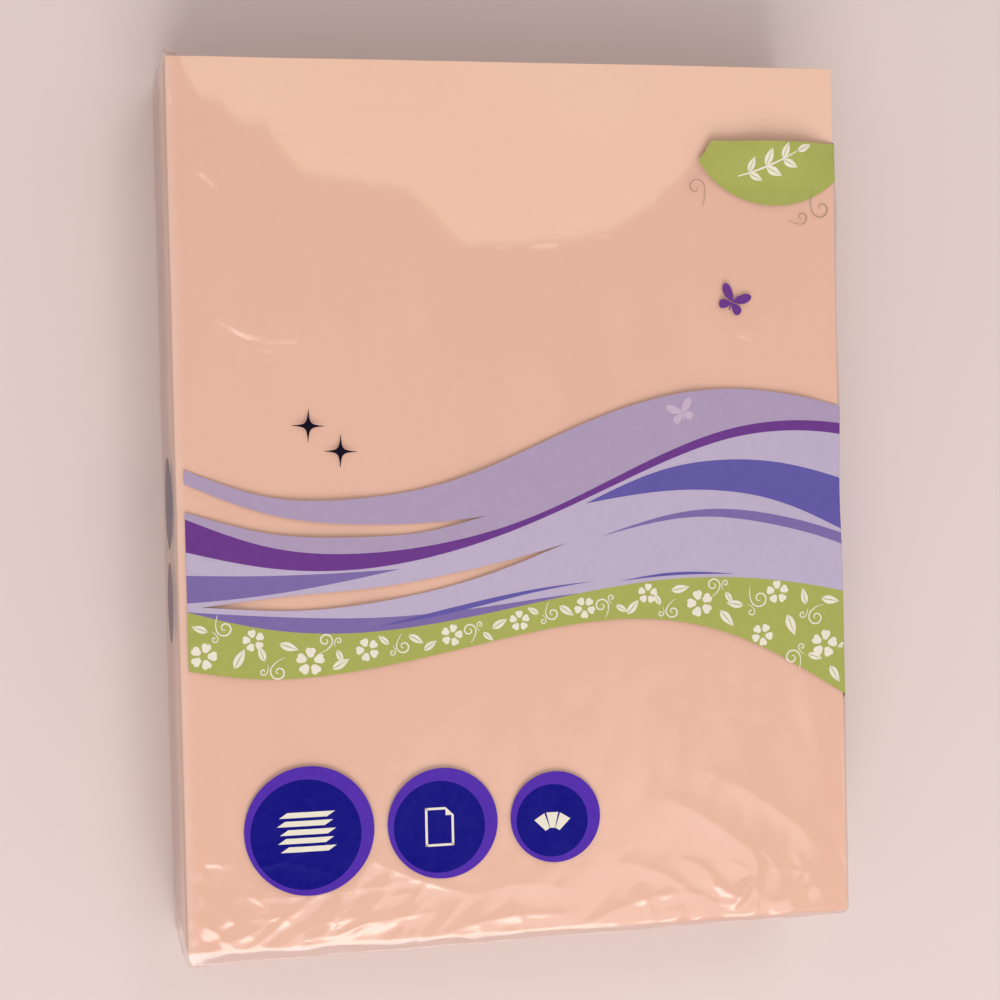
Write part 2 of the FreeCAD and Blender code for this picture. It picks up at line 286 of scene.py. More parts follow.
# Film: one printed sheet, folded round the stack, lapped and sealed down the back
film = {
    "foldRadius": 0.6 * mm,
    "sideGap": 0.42 * mm,       # from the paper's edge to the film's wall
    "foldLift": 0.35 * mm,      # over the top sheet, along the folds
    "middleLift": 0.7 * mm,     # more than that, away from the folds
    "backLift": 0.12 * mm,      # the back lies between the paper and the table
    "frontPitch": 1.2 * mm,
    "tearPitch": 0.85 * mm,     # finer columns where the tear is ragged
    "tearReach": -66 * mm,
    "wallPitch": 2.2 * mm,
    "backPitch": 9.0 * mm,
    "rowPitch": 1.5 * mm,
    "fineRow": 0.75 * mm,       # where the film is crumpled: from and to, along the ream
    "fineRuns": [(-145 * mm, -104 * mm), (46 * mm, 60 * mm)],
    "slackLeft": endSlackLeft,
    "slackRight": 1.2 * mm,
    "leftSag": 1.4 * mm,        # the left wall hangs out at its foot
    "tableGap": 0.03 * mm,
    "leastLift": 0.12 * mm,     # over the top sheet
    "liftOver": 14 * mm,        # from a fold to the film's full lift, and to full ripples
    "rippleOver": 12 * mm,
    "crumpledEnd": (34 * mm, 4 * mm),           # from the ream's lower end and left side: from and to
    "crumpledLeft": (16 * mm, 2 * mm),
    "tearSpring": 0.35 * mm,    # how far the torn edge springs up, and where it is stiff with print
    "printSpring": 2.6 * mm,
    "springReach": 17 * mm,
    "stiffFrom": (50 * mm, 80 * mm),            # across the ream
    "tearCurl": 0.3 * mm,
    "curlReach": 1.3 * mm,
    "wallBulge": 0.35 * mm,
    "leftWallShare": 0.3,       # of the right wall's bulges
    "ripples": {  # height (or share), length of a wave, seed, and stretch along the second direction
        "broad": (0.24 * mm, 46 * mm, 3, 1.6),
        "fine": (0.1 * mm, 17 * mm, 5, 2.2),
        "lowerEnd": (0.16 * mm, 19 * mm, 9, 0.8),
        "leftSide": (0.22 * mm, 13 * mm, 12, 0.7),
        "tear": (0.45 * mm, 6 * mm, 91, 1.0),
        "curl": (1.0, 13 * mm, 14, 1.0),
        "wall": (0.35 * mm, 34 * mm, 21, 1.5),
        "wallFine": (0.3 * mm, 11 * mm, 22, 3.0),
        "wallEnds": (0.5 * mm, 9 * mm, 23, 1.0),
        "fold": (0.3 * mm, 60 * mm, 31, 1.0),
        "droop": (0.25, 22 * mm, 44, 1.0),
        "flap": (0.35 * mm, 24 * mm, 51, 1.0),
        "flapFine": (0.3 * mm, 11 * mm, 52, 1.0),
        "rest": (0.6 * mm, 5 * mm, 61, 1.0),
        "flare": (0.6, 40 * mm, 62, 1.0),
        "wrap": (0.8 * mm, 6 * mm, 63, 1.0),
        "wrapFine": (0.25 * mm, 7 * mm, 64, 1.0),
    },
    "slackSpot": (92 * mm, 9 * mm, 0.6 * mm),   # right of the tear: where, how long, how far out
    "droop": 3.0 * mm,          # how far the loose lip sinks beyond the paper's lower edge
    "seamLeft": 11.0 * mm,
    "seamRight": 25.0 * mm,
    "flapLap": 14.0 * mm,
    "flapRows": 14,
    "haze": srgb(238, 194, 172),
    "hazeShare": 0.1,
    "hazeStreaks": 0.1,
    "foldHighlight": srgb(252, 236, 226),
    "foldHighlightShare": 0.22,
    "foldHighlightWidth": 3.2 * mm,  # a painted highlight: a pale line along the left fold, where the film stands off the paper
    "foldHighlightFade": 2.2 * mm,
    "tint": (0.985, 0.958, 0.955, 1.0),
    "streaks": (60.0, 16.0, 30.0),
    "streakTurn": (0, 0, 0.5),
    "bumpScale": 190.0,
    "bump": 0.25,
    "bumpHeight": 0.25 * mm,
    "rough": 0.16,
    "shine": 0.07,              # both faces of the film together, seen straight on
    "edgeShine": 0.7,
}

# The tear, in hundredths of the half width and half length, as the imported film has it
tearLine = [(-96.2, 101.5), (-95.7, 99), (-94.6, 96.4), (-93.4, 94.9), (-92.1, 92.8), (-91, 91.2),
            (-88.6, 90.2), (-85.2, 89.2), (-83.8, 88.5), (-81.9, 86.5), (-79.4, 85.2), (-76.9, 84.8),
            (-71.8, 85.1), (-71.1, 83.5), (-69.9, 81.1), (-67.7, 79.3), (-64.4, 76.7), (-62.9, 74.4),
            (-56.8, 73.2), (-47, 72.4), (-40.8, 71.1), (-31.8, 70.5), (-26, 66.4), (-20.6, 62.1),
            (-15.7, 58.1), (1.6, 57.8), (18.8, 59.1), (27.7, 60.6), (33.6, 62.9), (42.1, 66.9),
            (49, 71.7), (54.4, 75.9), (56.6, 77.8), (60.8, 82.2), (74, 82.3), (100.6, 82.1)]
# On down the right wall, in hundredths of its depth and of the half length
sideTear = [(0, 82.1), (8, 83.2), (34, 88), (56, 92), (70, 97), (76, 100.3), (100, 100.3)]
# What stands of the upper end, in hundredths of the half width and the height
endTear = [(-103, 62), (-95, 70), (-84, 56), (-74, 46), (-62, 39), (-46, 35), (-30, 28), (-12, 33),
           (8, 31), (24, 35), (46, 22), (62, 28), (80, 24), (92, 29), (101, 25)]

# Creases in the front, in millimetres: where each runs, how high it stands and how wide it is
creases = [
    ([(-98, 58.5), (-88, 52), (-76, 49.2), (-56, 52)], 0.95, 1.9),
    ([(-108, 15.5), (-101, 18.6), (-96.6, 19.4)], 0.5, 1.2),
    ([(-106, 118), (-99, 117.6), (-92.7, 118.3)], 0.4, 1.0),
    ([(-106.6, 106), (-99, 102), (-93.3, 96.9)], 0.5, 1.4),
    ([(69, 51.6), (84, 46), (96.7, 37.9)], 0.5, 2.0),
    ([(60, 40), (76, 44), (98, 30)], 0.4, 4.0),
    ([(44, -98), (62, -108), (80, -124)], 0.55, 4.0),
    ([(58, -90), (82, -103), (101, -121)], 0.5, 4.5),
    ([(28, -118), (47, -125), (60, -137)], 0.45, 3.6),
    ([(70, -112), (76, -122), (74, -134)], 0.4, 3.0),
    ([(-101, -104), (-92, -116), (-70, -124)], 0.4, 3.5),
    ([(-20, -128), (2, -124), (24, -132)], 0.35, 4.0),
    ([(-54.9, -110.6), (-38, -119), (-19.1, -126.1)], 0.6, 1.8),
    ([(75.3, -126), (72, -131), (67.2, -137)], 0.8, 1.3),
    ([(-107, -118), (-96, -128), (-84, -139)], 0.5, 1.8),
    ([(-107, -128), (-99, -133), (-93, -140)], 0.6, 1.4),
    ([(-94, -116), (-82, -127), (-67, -139)], 0.4, 2.0),
    ([(-67, -139), (-62, -128), (-60, -119)], 0.4, 1.6),
    ([(-66, -139), (-50, -133), (-30, -131)], 0.5, 1.6),
    ([(-90, -123), (-62, -122.5), (-34, -120)], 0.35, 1.8),
    ([(-30, -139), (-8, -134), (14, -135)], 0.4, 1.8),
    ([(20, -138), (40, -131), (58, -131)], 0.4, 2.2),
    ([(88, -137), (96, -124), (104, -118)], 0.5, 1.8),
    ([(78, -138), (92, -132), (107, -130)], 0.5, 1.6),
]

# Small creases, in millimetres and degrees: how many, and from what to what lie their place across
# and along the ream, their angle, length, height and width
creaseZones = [
    (20, (-107, -40), (-141, -133), (10, 60), (10, 34), (0.1, 0.38), (0.8, 1.9)),
    (10, (-107, -70), (-140, -112), (-30, 25), (14, 34), (0.08, 0.26), (0.9, 1.8)),
    (9, (-106, -80), (60, 125), (-50, 30), (10, 26), (0.08, 0.22), (0.8, 1.6)),
    (7, (40, 100), (20, 72), (-60, -10), (16, 40), (0.08, 0.2), (1.4, 3.2)),
    (18, (-50, 80), (-141, -137), (15, 165), (5, 16), (0.1, 0.36), (0.8, 1.8)),
    (14, (60, 107), (-140, -126), (110, 170), (8, 24), (0.1, 0.4), (0.8, 2.0)),
    (18, (-107.5, -103), (-100, 128), (-40, 40), (5, 16), (0.12, 0.4), (0.6, 1.3)),
    (8, (103, 107), (-110, 100), (150, 210), (4, 14), (0.1, 0.3), (0.6, 1.3)),
    (8, (-60, 60), (-60, 70), (0, 180), (14, 40), (0.06, 0.16), (1.2, 3.0)),
]


def spread(points, unitX, unitY):
    return [(x * unitX, y * unitY) for x, y in points]


tearX, tearY = np.array(spread(tearLine, halfWidth / 100, halfLength / 100)).T


def filmRipple(name, a, b=None):
    # From the film's table, along one line where b is left out
    height, wave, seed, stretch = film["ripples"][name]
    return height * ripples(a, a * 0 if b is None else b, wave, seed, stretch=stretch)


def tearAt(x):
    along = np.asarray(x, float)
    ragged = filmRipple("tear", along) * smooth(-np.abs(along), -80 * mm, -60 * mm)
    torn = np.interp(along, tearX, tearY) + ragged
    return np.where(along < tearX[0], halfLength + film["sideGap"], torn)


def lineDistance(x, y, line):
    # Distance to a bent line, and the share along it
    best = np.full(x.shape, 1e9)
    share = np.zeros(x.shape)
    steps = len(line) - 1
    for index, ((x0, y0), (x1, y1)) in enumerate(zip(line, line[1:])):
        dx, dy = x1 - x0, y1 - y0
        t = np.clip(((x - x0) * dx + (y - y0) * dy) / (dx * dx + dy * dy), 0, 1)
        gap = np.hypot(x - x0 - t * dx, y - y0 - t * dy)
        nearer = gap < best
        best = np.where(nearer, gap, best)
        share = np.where(nearer, (index + t) / steps, share)
    return best, share


def bentLine(points, count=12):
    # A smooth line through three or four points
    t = np.linspace(0, 1, len(points))
    fine = np.linspace(0, 1, count)
    order = min(3, len(points) - 1)
    fits = [np.polyval(np.polyfit(t, [p[axis] for p in points], order), fine) for axis in (0, 1)]
    return list(zip(*fits))


def smallCreases():
    # Short creases fan out from the folded lower end, the lower corners and the left fold
    draw = np.random.default_rng(23)
    found = []
    for count, across, along, angles, lengths, heights, widths in creaseZones:
        for _ in range(count):
            x, y, angle, length = [draw.uniform(*span) for span in (across, along, angles, lengths)]
            angle = math.radians(angle)
            bend = draw.uniform(-0.18, 0.18) * length
            middle = (x + length * 0.5 * math.cos(angle) - bend * math.sin(angle),
                      y + length * 0.5 * math.sin(angle) + bend * math.cos(angle))
            end = (x + length * math.cos(angle), y + length * math.sin(angle))
            found.append(([(x, y), middle, end], draw.uniform(*heights), draw.uniform(*widths)))
    return found


def creaseLift(x, y):
    total = np.zeros(x.shape)
    for points, height, width in creases + smallCreases():
        line = [(a * mm, b * mm) for a, b in bentLine(points)]
        gap, share = lineDistance(x, y, line)
        fade = np.clip(np.sin(math.pi * np.clip(share, 0.02, 0.98)), 0, 1) ** 0.6
        total += height * mm * fade * np.exp(-gap / (width * mm))
    return total


def frontLift(x, y):
    # Height of the film over the top sheet
    fromFold = np.minimum(np.abs(np.abs(x) - halfWidth), 60 * mm)
    lift = film["foldLift"] + film["middleLift"] * smooth(fromFold, 0, film["liftOver"])
    lift = lift + filmRipple("broad", x, y) * smooth(fromFold, 0, film["rippleOver"])
    lift = lift + np.abs(filmRipple("fine", x, y))
    start, full = film["crumpledEnd"]
    lowerEnd = smooth(-y, halfLength - start, halfLength - full)
    lift = lift + lowerEnd * np.abs(filmRipple("lowerEnd", x, y))
    start, full = film["crumpledLeft"]
    leftSide = smooth(-x, halfWidth - start, halfWidth - full)
    lift = lift + leftSide * np.abs(filmRipple("leftSide", x, y))
    # The torn edge springs up, most where the film is stiff with print at the right
    fromTear = np.clip(tearAt(x) - y, 0, 1)
    stiff = smooth(x, *film["stiffFrom"]) * smooth(-x, -halfWidth, -halfWidth + film["liftOver"])
    spring = film["tearSpring"] + film["printSpring"] * stiff
    lift = lift + spring * (1 - smooth(fromTear, 0, film["springReach"])) * (x > tearX[0])
    curl = film["tearCurl"] * np.clip(0.6 + filmRipple("curl", x), 0, 2)
    lift = lift + curl * np.exp(-fromTear / film["curlReach"]) * (x > tearX[0])
    lift = lift + creaseLift(x, y)
    return np.maximum(lift, film["leastLift"])


def rowShares():
    # Where the rows lie along the film, closer where it is crumpled
    length = 2 * halfLength + film["slackLeft"]
    shares, y = [0.0], -halfLength - film["slackLeft"]
    while shares[-1] < 1:
        fine = any(start < y < end for start, end in film["fineRuns"])
        step = film["fineRow"] if fine else film["rowPitch"]
        y += step
        shares.append(shares[-1] + step / length)
    return np.array(shares[:-1] + [1.0])


rowShare = rowShares()


def tubeColumns():
    # Round the stack: from the lap's inner edge along the back, up the right wall, across the front,
    # down the left wall and along the back again. Each column holds the part's name, x and z, the
    # direction outwards in x and z, and the place in the flat print
    radius = film["foldRadius"]
    reach = halfWidth + film["sideGap"]
    low, high = film["backLift"], sheetTop + film["foldLift"]
    depth = high - low
    across = reach - radius
    columns = []

    def line(part, start, end, pitch, normal, flat):
        steps = max(int(round(math.hypot(end[0] - start[0], end[1] - start[1]) / pitch)), 1)
        for t in np.linspace(0, 1, steps + 1):
            columns.append((part, start[0] + (end[0] - start[0]) * t, start[1] + (end[1] - start[1]) * t,
                            normal[0], normal[1], flat[0] + (flat[1] - flat[0]) * t))

    def corner(part, cx, cz, first, flat):
        for step in (1, 2):
            angle = first + math.pi / 2 * step / 3
            c, s = math.cos(angle), math.sin(angle)
            columns.append((part, cx + radius * c, cz + radius * s, c, s,
                            flat + (1.5 - step) * 0.3 * mm))

    seamLeft, seamRight, tearReach = film["seamLeft"], film["seamRight"], film["tearReach"]
    backPitch, seamPitch = film["backPitch"], film["backPitch"] / 3
    line("back", (seamLeft, low + 0.1 * mm), (seamRight + 2 * mm, low), seamPitch,
         (0, -1), (280 * mm, 262 * mm))
    line("back", (seamRight + 4 * mm, low), (across, low), backPitch,
         (0, -1), (260 * mm, reach + depth + 1 * mm))
    corner("right", across, low + radius, -math.pi / 2, reach + depth + 0.3 * mm)
    line("right", (reach, low + radius), (reach, high - radius), film["wallPitch"], (1, 0),
         (reach + depth - radius, reach + radius))
    corner("right", across, high - radius, 0, reach)
    line("front", (across, high), (tearReach, high), film["frontPitch"], (0, 1), (across, tearReach))
    columns.pop()
    line("front", (tearReach, high), (-across, high), film["tearPitch"], (0, 1), (tearReach, -across))
    corner("left", -across, high - radius, math.pi / 2, -reach)
    line("left", (-reach, high - radius), (-reach, low + radius), film["wallPitch"], (-1, 0),
         (-reach - radius, radius - reach - depth))
    corner("left", -across, low + radius, math.pi, -reach - depth - 0.3 * mm)
    line("back", (-across, low), (seamLeft - 3 * mm, low), backPitch,
         (0, -1), (-reach - depth - 1 * mm, -260 * mm))
    line("back", (seamLeft - 2 * mm, low), (seamRight, low - 0.06 * mm), seamPitch,
         (0, -1), (-262 * mm, -280 * mm))
    return columns, low, high


def slackAt(x):
    left, right = film["slackLeft"], film["slackRight"]
    return left + (right - left) * (x + halfWidth) / (2 * halfWidth)


def farEnd(part, x, z, low, high):
    if part == "front":
        return float(tearAt(np.array(x)))
    if part == "right":
        share = (high - z) / (high - low) * 100
        return float(np.interp(share, *zip(*sideTear))) * halfLength / 100
    if part == "left":
        return halfLength + film["sideGap"] + 1.6 * mm * float(smooth(z, 30 * mm, 50 * mm))
    return halfLength + film["sideGap"]


def tubeSurface(columns, low, high):
    part = np.array([c[0] for c in columns])
    cx, cz, nx, nz, flat = np.array([c[1:] for c in columns]).T
    near = -(halfLength + slackAt(cx) - 0.5 * mm * (high - cz) / (high - low))
    far = np.array([farEnd(p, x, z, low, high) for p, x, z in zip(part, cx, cz)])
    y = near[:, None] + (far - near)[:, None] * rowShare[None, :]
    flatPlace = np.stack([np.repeat(flat[:, None], len(rowShare), 1), y], -1)
    x = np.repeat(cx[:, None], len(rowShare), 1)
    z = np.repeat(cz[:, None], len(rowShare), 1)
    onFront = (part == "front")[:, None]
    lift = frontLift(x, y)
    # Walls: slack bulges and upright creases, tight at the folds
    height = (z - low) / (high - low)
    belly = np.clip(np.sin(math.pi * np.clip(height, 0, 1)), 0, 1)
    side = (part == "right") | (part == "left")
    bulge = film["wallBulge"] + filmRipple("wall", z, y)
    onLeft = (part == "left")[:, None]
    calm = np.where(onLeft, film["leftWallShare"], 1.0)
    bulge = calm * (bulge + np.abs(filmRipple("wallFine", y, z)))
    nearEnds = smooth(np.abs(y), halfLength - 30 * mm, halfLength)
    bulge = belly * (bulge + nearEnds * np.abs(filmRipple("wallEnds", y, z)))
    spotAt, spotSize, spotOut = film["slackSpot"]
    slackSpot = spotOut * np.exp(-((y - spotAt) / spotSize) ** 2) * (cx > 0)[:, None]
    foldWave = filmRipple("fold", y) + slackSpot
    foldWave = foldWave * np.sign(cx)[:, None] * (0.3 + 0.7 * height)
    offset = np.where(onFront, lift - film["foldLift"], 0) + np.where(side[:, None], bulge + 0.2 * mm, 0)
    x = x + offset * nx[:, None] + np.where(side[:, None], foldWave, 0)
    x = x - onLeft * film["leftSag"] * (1 - np.clip(height, 0, 1))
    z = z + offset * nz[:, None]
    # Beyond the paper's lower edge the tube closes like a pillow
    slack = slackAt(cx)[:, None]
    beyond = np.clip((-halfLength + 1.0 * mm - y) / (slack + 1.0 * mm), 0, 1)
    middle = (low + high) / 2
    loose = 0.35 + 0.65 * slack / film["slackLeft"]
    sink = film["droop"] * loose * (1 + filmRipple("droop", x, y))
    pull = np.where(z > middle, 1, -0.35) * np.clip(np.abs(z - middle) / (middle - low), 0, 1)
    z = z - pull * sink * beyond ** 1.6
    z = np.maximum(z, film["tableGap"])
    x = x * (1 - 0.008 * beyond ** 2)
    x = x + leanAt(z)
    return part, flatPlace, np.stack([x, y, z], -1)


class Net:
    # Gathers faces whose corners are given as places, and welds those that coincide
    def __init__(self):
        self.places, self.normals, self.faces, self.keys = [], [], [], {}

    def corner(self, place, normal=None):
        key = tuple(round(c / (0.004 * mm)) for c in place)
        if key not in self.keys:
            self.keys[key] = len(self.places)
            self.places.append(tuple(place))
            self.normals.append(normal)
        return self.keys[key]

    def face(self, corners):
        kept = []
        for index in corners:
            if index not in kept:
                kept.append(index)
        if len(kept) > 2:
            self.faces.append(kept)

    def grid(self, points):
        index = [[self.corner(place) for place in row] for row in points.tolist()]
        for left, right in zip(index, index[1:]):
            for j in range(len(left) - 1):
                self.face((left[j], left[j + 1], right[j + 1], right[j]))

    def build(self, name):
        thing = meshObject(name, self.places, self.faces)
        if self.normals and self.normals[0] is not None:
            thing.data.normals_split_custom_set_from_vertices(self.normals)
        return thing


def nearPlane(x, z, layer):
    # Where a layer of the folded lower end lies, looser towards the left
    give = 0.25 + 0.35 * np.clip((z - sheetLow) / stackHeight, 0, 1)
    crumple = filmRipple("flap", x, z) + np.abs(filmRipple("flapFine", x, z))
    flat = halfLength + 0.25 * mm + slackAt(x) * give + layer * 0.18 * mm
    return -(flat + np.maximum(crumple, -0.2 * mm))


def tongue(net, start, shape, rows):
    # A tongue of film from an edge of the tube, row by row
    steps = np.linspace(0, 1, rows + 1)
    net.grid(np.stack([np.stack(shape(t, *start.T), -1) for t in steps], 1))


def lowerFlap(net, start, direction, layer, lap):
    # The flap in front folds down over the one at the back, which folds up; both are cut at 45 degrees
    reach = halfWidth + film["sideGap"]
    length = np.clip(reach - np.abs(start[:, 0] - leanAt(start[:, 2])) + 0.3 * mm, 0.3 * mm, lap)

    def shape(t, x, y, z):
        height = z + direction * length * t
        out = y + (nearPlane(x, height, layer) - y) * smooth(t * length, 0, 9 * mm)
        return x + leanAt(height) - leanAt(z), out, height

    tongue(net, start, shape, film["flapRows"])


def sideTuck(net, start, sign, low, high):
    length = np.clip(np.minimum(start[:, 2] - low, high - start[:, 2]) + 1.0 * mm, 0.3 * mm, 40 * mm)

    def shape(t, x, y, z):
        across = x - sign * length * t
        return across, y + (nearPlane(across, z, 0) - y) * smooth(t * length, 0, 6 * mm), z

    tongue(net, start, shape, film["flapRows"])


def standingRest(net, start, low, high):
    # What is left of the torn upper end stands up from the back
    rise = np.interp(start[:, 0], *zip(*spread(endTear, halfWidth / 100, (high - low) / 100)))
    rise = rise + filmRipple("rest", start[:, 0])

    def shape(t, x, y, z):
        height = z + rise * t
        flare = 0.25 * mm + 1.8 * mm * t ** 3 * (1 + filmRipple("flare", x))
        out = halfLength + film["sideGap"] + np.maximum(flare * smooth(t * rise, 0, 3 * mm), 0)
        return x + leanAt(height) - leanAt(z), out, height

    tongue(net, start, shape, film["flapRows"])


def cornerWrap(net, start):
    # The left wall still wraps round the upper corner, crumpled
    heights, reaches = np.array([(0, 2), (12, 16), (34, 13), (44, 7), (52, 4)]).T * mm
    reach = np.interp(start[:, 2], heights, reaches)
    reach = reach + filmRipple("wrap", start[:, 2])

    def shape(t, x, y, z):
        across = x + reach * t
        out = y + (halfLength + 0.3 * mm - y) * smooth(t * reach, 0, 5 * mm)
        return across, out + np.abs(filmRipple("wrapFine", across, z)) * min(t * 4, 1), z

    tongue(net, start, shape, 8)


def foldedStrip(net, start):
    # A narrow strip of the front still folds over the upper edge beside the corner
    fall = np.linspace(6, 12, len(start)) * mm

    def shape(t, x, y, z):
        return x, y + 1.1 * mm * math.sin(math.pi * t) + 0.4 * mm * t, z - fall * t

    tongue(net, start, shape, 6)


columns, tubeLow, tubeHigh = tubeColumns()
part, flatPlace, surface = tubeSurface(columns, tubeLow, tubeHigh)


def buildFilm():
    net = Net()
    net.grid(surface)
    lap = (tubeHigh - tubeLow + film["flapLap"]) / 2
    front, left, right, back = [np.where(part == name)[0] for name in ("front", "left", "right", "back")]
    lowerFlap(net, surface[front, 0], -1, 2.4, lap)
    sideTuck(net, surface[left, 0], -1, tubeLow, tubeHigh)
    sideTuck(net, surface[right, 0], 1, tubeLow, tubeHigh)
    for run in np.split(back, np.where(np.diff(back) > 1)[0] + 1):
        lowerFlap(net, surface[run, 0], 1, 1.2, lap)
        standingRest(net, surface[run, -1], tubeLow, tubeHigh)
    cornerWrap(net, surface[left, -1])
    foldedStrip(net, surface[[i for i in front if columns[i][1] < tearX[0]], -1])
    return net.build("film_wrap")


def filmMaterial():
    g = Graph(bpy.data.materials.new("clearFilm"))
    place = g.add("ShaderNodeTexCoord", output=3)
    bump = g.bump(g.noise(place, film["bumpScale"], 1.0, 0.5), film)
    clear = g.add("ShaderNodeBsdfTransparent", {}, {"Color": film["tint"]})
    haze = g.add("ShaderNodeBsdfDiffuse", {}, {"Color": film["haze"], "Normal": bump})
    lengthwise = g.add("ShaderNodeMapping", {},
                       {"Vector": place, "Rotation": film["streakTurn"], "Scale": film["streaks"]})
    hazeShare = film["hazeShare"] + film["hazeStreaks"] * (g.noise(lengthwise, 1.0, 2.0) - 0.5)
    sheet = g.add("ShaderNodeMixShader", {}, {0: hazeShare, 1: clear, 2: haze})
    # A painted highlight: pale diffuse film along the upper part of the left fold, broken up by streaks
    beside = (film["foldHighlightWidth"] - halfWidth - g.axis(place, 0)) * (1 / film["foldHighlightFade"])
    high = (g.axis(place, 2) - 0.7 * sheetTop) * (1 / (0.2 * sheetTop))
    nearFold = g.clamp(beside) * g.clamp(high)
    broken = 0.35 + 1.3 * g.noise(lengthwise, 0.8, 2.0)
    fold = g.add("ShaderNodeBsdfDiffuse", {}, {"Color": film["foldHighlight"], "Normal": bump})
    paintedHighlightShare = film["foldHighlightShare"] * nearFold * broken
    sheet = g.add("ShaderNodeMixShader", {}, {0: paintedHighlightShare, 1: sheet, 2: fold})
    gloss = g.add("ShaderNodeBsdfGlossy", {},
                  {"Color": (1, 1, 1, 1), "Roughness": film["rough"], "Normal": bump})
    slant = g.add("ShaderNodeLayerWeight", {}, {"Blend": 0.5, "Normal": bump}, output=1)
    shine = film["shine"] + film["edgeShine"] * slant ** 5
    return g.finish(g.add("ShaderNodeMixShader", {}, {0: shine, 1: sheet, 2: gloss}))


wrap = buildFilm()
wrap.data.materials.append(filmMaterial())
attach(wrap, "root")
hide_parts("film_wrapper")
print("film built", len(wrap.data.polygons))

# Print: colour fields cut out of the film's own surface, a hair above it. The edges are in hundredths
# of the half width and half length; past 100 they run over the fold and down the right wall
bands = {
    "waveTop": [(-98, 8.4), (-75, 2), (-48, 1), (-20, 4.6), (16, 15.8), (46, 23.2), (72, 24.4),
                (100, 20.4), (150, 10)],
    "ribbonTop": [(-98, -2.6), (-75, -9.2), (-49, -11.4), (-22, -9.4), (4, -4), (34, 6.2), (64, 15),
                  (100, 16.2), (150, 5)],
    "ribbonLow": [(-98, -10), (-75, -14), (-49, -15), (-22, -11.8), (4, -5.4), (34, 4.4), (64, 12.8),
                  (100, 13.6), (150, 1)],
    "greenTop": [(-98, -23.3), (-75, -27.8), (-49, -29.3), (-22, -27.4), (16, -22.3), (46, -19.5),
                 (77, -20.4), (100, -23.6), (150, -36)],
    "greenLow": [(-98, -36.5), (-76, -39), (-50, -38), (-22, -34.4), (16, -29.2), (42, -28.9),
                 (69, -34.4), (100, -48), (150, -72)],
    "slotHighTop": [(-98, 5.2), (-75, -1.8), (-48, -4.8), (-26, -4.8), (-10, -3.6), (20, 2), (60, 18),
                    (150, 7)],
    "slotHighDepth": [(-98, 6.2), (-75, 4.4), (-48, 2.9), (-26, 1.8), (-10, 0), (20, -0.6),
                      (150, -0.6)],
    "slotLowTop": [(-94, -22.4), (-70, -20.6), (-40, -18.9), (-8, -14.6), (14, -10.4), (50, -2),
                   (150, -2)],
    "slotLowDepth": [(-100, -0.8), (-94, 0), (-70, 3.2), (-40, 3.3), (-8, 2), (14, 0), (50, -0.6),
                     (150, -0.6)],
    "blueTop": [(20, -1.4), (44, 6), (62, 8), (80, 7.2), (100, 3.2), (150, -12)],
    "blueLow": [(20, -1.4), (44, 1), (62, 0.8), (80, -2), (100, -8.8), (150, -26)],
    "crescentTop": [(24, -9.2), (54, -3.6), (78, -5), (100, -9.8), (150, -28)],
    "crescentLow": [(24, -9.2), (54, -5.2), (78, -7.4), (100, -12.4), (150, -34)],
    "wedgeTop": [(-98, -15.2), (-76, -15.8), (-36, -15.2)],
    "wedgeLow": [(-98, -21.4), (-76, -20.2), (-36, -15.2)],
    "footTop": [(-98, -23.3), (-70, -25.2), (-40, -26), (-8, -24.2), (16, -22.2), (34, -21.4)],
    "sliverTop": [(-44, -28.2), (-20, -24.2), (4, -20.8), (22, -19.4)],
    "sliverLow": [(-44, -28.2), (-20, -25.4), (4, -21.5), (22, -19.4)],
    "tipTop": [(30, -19.6), (46, -18), (66, -18.8)],
    "tipLow": [(30, -19.6), (46, -18.7), (66, -18.8)],
}
art = {  # places, sizes and radii in millimetres
    "leftEdge": -97.8,          # hundredths of the half width
    "badges": [(-69.6, -102.7, 20.4), (-27.3, -102.7, 17.7), (9.3, -102.7, 14.7)],  # place and radius
    "badgeRim": 3.0,
    "discShift": 1.1,
    "cornerBadge": (87.5, 125.3, 31.0),
    "wallDiscs": [(-134.5, 1.0, 15.0), (-134.5, -31.0, 13.0)],
    "stars": [(-66.9, 24.6), (-57.0, 16.4)],
    "starSize": (5.4, 1.5),     # reach and waist
    "butterfly": (-26, 72.1, 62.6, 0.95),       # turn in degrees, place and size
    "paleButterfly": (18, 54.2, 26.6, 0.8),
    "sprig": (4, 84.4, 107.8),
    "curls": [(200, 60.5, 100.0, 3.0), (20, 103.5, 93.5, 3.4), (100, 96.5, 90.5, 2.2)],
    "layer": 0.02 * mm,         # how far a print on layer 1 stands off the film
    "flatLift": 0.5,            # layers more for flat faces than for shapes cut from the film
}
inks = {
    "lavender": srgb(171, 151, 180),
    "pale": srgb(186, 171, 196),
    "violet": srgb(106, 55, 134),
    "blue": srgb(97, 87, 161),
    "midBlue": srgb(123, 104, 162),
    "green": srgb(166, 169, 88),
    "white": srgb(232, 222, 205),
    "mist": srgb(196, 174, 196),
    "navy": srgb(6, 3, 122),
    "rim": srgb(80, 42, 166),
    "black": srgb(5, 0, 24),
    "dusk": srgb(84, 68, 92),
    "curl": srgb(158, 134, 108),
    "rough": 0.24,
    "shine": 0.06,
    "mottle": 420.0,            # scale of the mottling, and how much it changes a colour
    "grain": 0.05,
}
surfaceNormals = np.cross(np.gradient(surface, axis=1), np.gradient(surface, axis=0))
surfaceNormals /= np.maximum(np.linalg.norm(surfaceNormals, axis=2, keepdims=True), 1e-12)
columnFlat = flatPlace[:, 0, 0]
nearY, farY = flatPlace[:, 0, 1], flatPlace[:, -1, 1]


